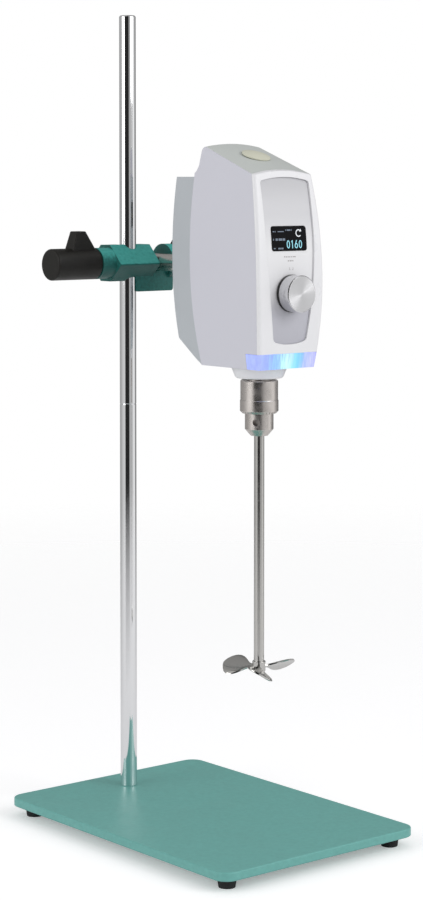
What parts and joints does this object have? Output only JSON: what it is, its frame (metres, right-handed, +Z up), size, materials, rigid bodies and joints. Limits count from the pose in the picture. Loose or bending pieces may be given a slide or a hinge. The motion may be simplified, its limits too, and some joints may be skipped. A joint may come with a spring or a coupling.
{
  "type": "overhead stirrer",
  "caption": "Overhead laboratory stirrer: slim motor head with dial and display on a clamped bar, key chuck, stirring shaft with propeller, column and plate stand.",
  "frame": {"origin": "on the bench, under the middle of the plate", "axes": "+Z up along the column, -Y towards the user and the control panel, +X to the right seen from the front"},
  "size_m": [0.23, 0.325, 0.768],
  "materials": {
    "plate_paint": "fine hammered teal enamel",
    "foot_rubber": "matt",
    "fastener_steel": "zinc plated",
    "column_chrome": "polished",
    "casting_paint": "satin teal enamel on a casting",
    "screw_steel": "turned",
    "pad_brass": "turned",
    "knob_black": "satin",
    "bar_steel": "ground stainless",
    "housing_grey": "fine satin",
    "cover_grey": "fine satin",
    "bezel_white": "satin gloss",
    "collar_white": "satin gloss",
    "cap_ivory": "satin",
    "panel_foil": "printed foil",
    "display_glass": "polished black",
    "module_black": "moulded",
    "board_green": "lacquered board",
    "dial_metal": "spun",
    "dial_black": "satin",
    "light_clear": "clear, lit blue",
    "frame_metal": "as cast",
    "race_steel": "ground",
    "pulley_metal": "turned",
    "belt_rubber": "matt",
    "motor_black": "satin",
    "chuck_nickel": "nickel plated",
    "tool_steel": "polished stainless"
  },
  "bodies": {
    "stand": {"base_plate": "plate_paint", "rubber_feet": "foot_rubber", "foot_screws": "fastener_steel", "column_base_screw": "fastener_steel"},
    "column": {"column_lower": "column_chrome", "column_upper": "column_chrome", "column_stud": "fastener_steel"},
    "boss": {"boss_head": "casting_paint"},
    "column_pad": {"column_pad": "pad_brass"},
    "column_knob": {"column_clamp_screw": "screw_steel", "column_clamp_knob": "knob_black"},
    "bar_pad": {"bar_pad": "pad_brass"},
    "bar_knob": {"bar_clamp_screw": "screw_steel", "bar_clamp_knob": "knob_black"},
    "bar": {"support_bar": "bar_steel"},
    "head": {"main_housing": "housing_grey", "front_bezel": "bezel_white", "rear_cover": "cover_grey", "cover_screws": "fastener_steel", "bottom_collar": "collar_white", "light_bar": "light_clear", "light_strip": "board_green", "front_panel": "panel_foil", "display_window": "display_glass", "display_module": "module_black", "control_board": "board_green", "board_screws": "fastener_steel", "encoder_body": "module_black", "drive_frame": "frame_metal", "frame_screws": "fastener_steel", "bearing_outer_races": "race_steel", "drive_belt": "belt_rubber", "motor_body": "motor_black", "power_board": "board_green", "power_inlet": "module_black", "inlet_pins": "pad_brass", "switch_body": "module_black"},
    "cap": {"top_cap": "cap_ivory"},
    "encoder_push": {"encoder_shaft": "dial_metal"},
    "dial": {"dial_knob": "dial_metal", "dial_skirt": "dial_black"},
    "rocker": {"rocker": "module_black"},
    "spindle": {"spindle": "race_steel", "bearing_inner_races": "race_steel", "spindle_pulley": "pulley_metal", "chuck_body": "chuck_nickel"},
    "motor_rotor": {"motor_shaft": "race_steel", "motor_pulley": "pulley_metal"},
    "sleeve": {"chuck_sleeve": "chuck_nickel", "chuck_nut": "chuck_nickel"},
    "jaw_1": {"chuck_jaw_1": "chuck_nickel"},
    "jaw_2": {"chuck_jaw_2": "chuck_nickel"},
    "jaw_3": {"chuck_jaw_3": "chuck_nickel"},
    "tool": {"stir_shaft": "tool_steel", "propeller": "tool_steel"}
  },
  "joints": [
    {"name": "swing", "type": "hinge", "parent": "stand", "child": "column", "pos_m": [0, 0.1225, 0.018], "axis": [0, 0, 1], "continuous": true},
    {"name": "height", "type": "slide", "parent": "column", "child": "boss", "axis": [0, 0, 1], "range_m": [-0.07, 0.2]},
    {"name": "column_pad_slide", "type": "slide", "parent": "boss", "child": "column_pad", "axis": [-1, 0, 0], "range_m": [0, 0.005]},
    {"name": "column_knob_turn", "type": "hinge", "parent": "column_pad", "child": "column_knob", "pos_m": [0, 0.1225, 0.53], "axis": [-1, 0, 0], "range_deg": [0, 1441]},
    {"name": "bar_pad_slide", "type": "slide", "parent": "boss", "child": "bar_pad", "axis": [1, 0, 0], "range_m": [0, 0.005]},
    {"name": "bar_knob_turn", "type": "hinge", "parent": "bar_pad", "child": "bar_knob", "pos_m": [0.032, 0.1225, 0.53], "axis": [1, 0, 0], "range_deg": [0, 1441]},
    {"name": "reach", "type": "slide", "parent": "boss", "child": "bar", "axis": [0, -1, 0], "range_m": [-0.03, 0.008]},
    {"name": "head_roll", "type": "hinge", "parent": "bar", "child": "head", "pos_m": [0.032, 0.06, 0.53], "axis": [0, 1, 0], "range_deg": [-90, 90]},
    {"name": "cap_lift", "type": "slide", "parent": "head", "child": "cap", "axis": [0, -0.3371, 0.9415], "range_m": [0, 0.02]},
    {"name": "dial_push", "type": "slide", "parent": "head", "child": "encoder_push", "axis": [0, 1, 0], "range_m": [0, 0.0005], "stiffness_N_per_m": 3000},
    {"name": "dial_turn", "type": "hinge", "parent": "encoder_push", "child": "dial", "pos_m": [0.032, -0.08019, 0.507], "axis": [0, -1, 0], "continuous": true},
    {"name": "rocker_tip", "type": "hinge", "parent": "head", "child": "rocker", "pos_m": [0.032, 0.04438, 0.492], "axis": [1, 0, 0], "range_deg": [0, 20]},
    {"name": "spindle_spin", "type": "hinge", "parent": "head", "child": "spindle", "pos_m": [0.032, -0.036, 0.45], "axis": [0, 0, 1], "continuous": true},
    {"name": "motor_spin", "type": "hinge", "parent": "head", "child": "motor_rotor", "pos_m": [0.032, 0.0065, 0.46], "axis": [0, 0, 1], "continuous": true},
    {"name": "sleeve_turn", "type": "hinge", "parent": "spindle", "child": "sleeve", "pos_m": [0.032, -0.036, 0.41], "axis": [0, 0, 1], "range_deg": [0, 1441]},
    {"name": "jaw_1_slide", "type": "slide", "parent": "spindle", "child": "jaw_1", "axis": [0.153, 0.114, 0.9816], "range_m": [0, 0.005]},
    {"name": "jaw_2_slide", "type": "slide", "parent": "spindle", "child": "jaw_2", "axis": [-0.1752, 0.0755, 0.9816], "range_m": [0, 0.00501]},
    {"name": "jaw_3_slide", "type": "slide", "parent": "spindle", "child": "jaw_3", "axis": [0.0223, -0.1895, 0.9816], "range_m": [0, 0.00501]},
    {"name": "tool_height", "type": "slide", "parent": "spindle", "child": "tool", "axis": [0, 0, 1], "range_m": [-0.05, 0.11]}
  ],
  "couplings": [
    {"joint": "column_knob_turn", "follows": "column_pad_slide", "rad_per_m": 5026.5},
    {"joint": "bar_knob_turn", "follows": "bar_pad_slide", "rad_per_m": 5026.5},
    {"joint": "motor_spin", "follows": "spindle_spin", "ratio": 2.75},
    {"joint": "jaw_2_slide", "follows": "jaw_1_slide", "ratio": 1},
    {"joint": "jaw_3_slide", "follows": "jaw_1_slide", "ratio": 1},
    {"joint": "sleeve_turn", "follows": "jaw_1_slide", "rad_per_m": 5026.5}
  ]
}
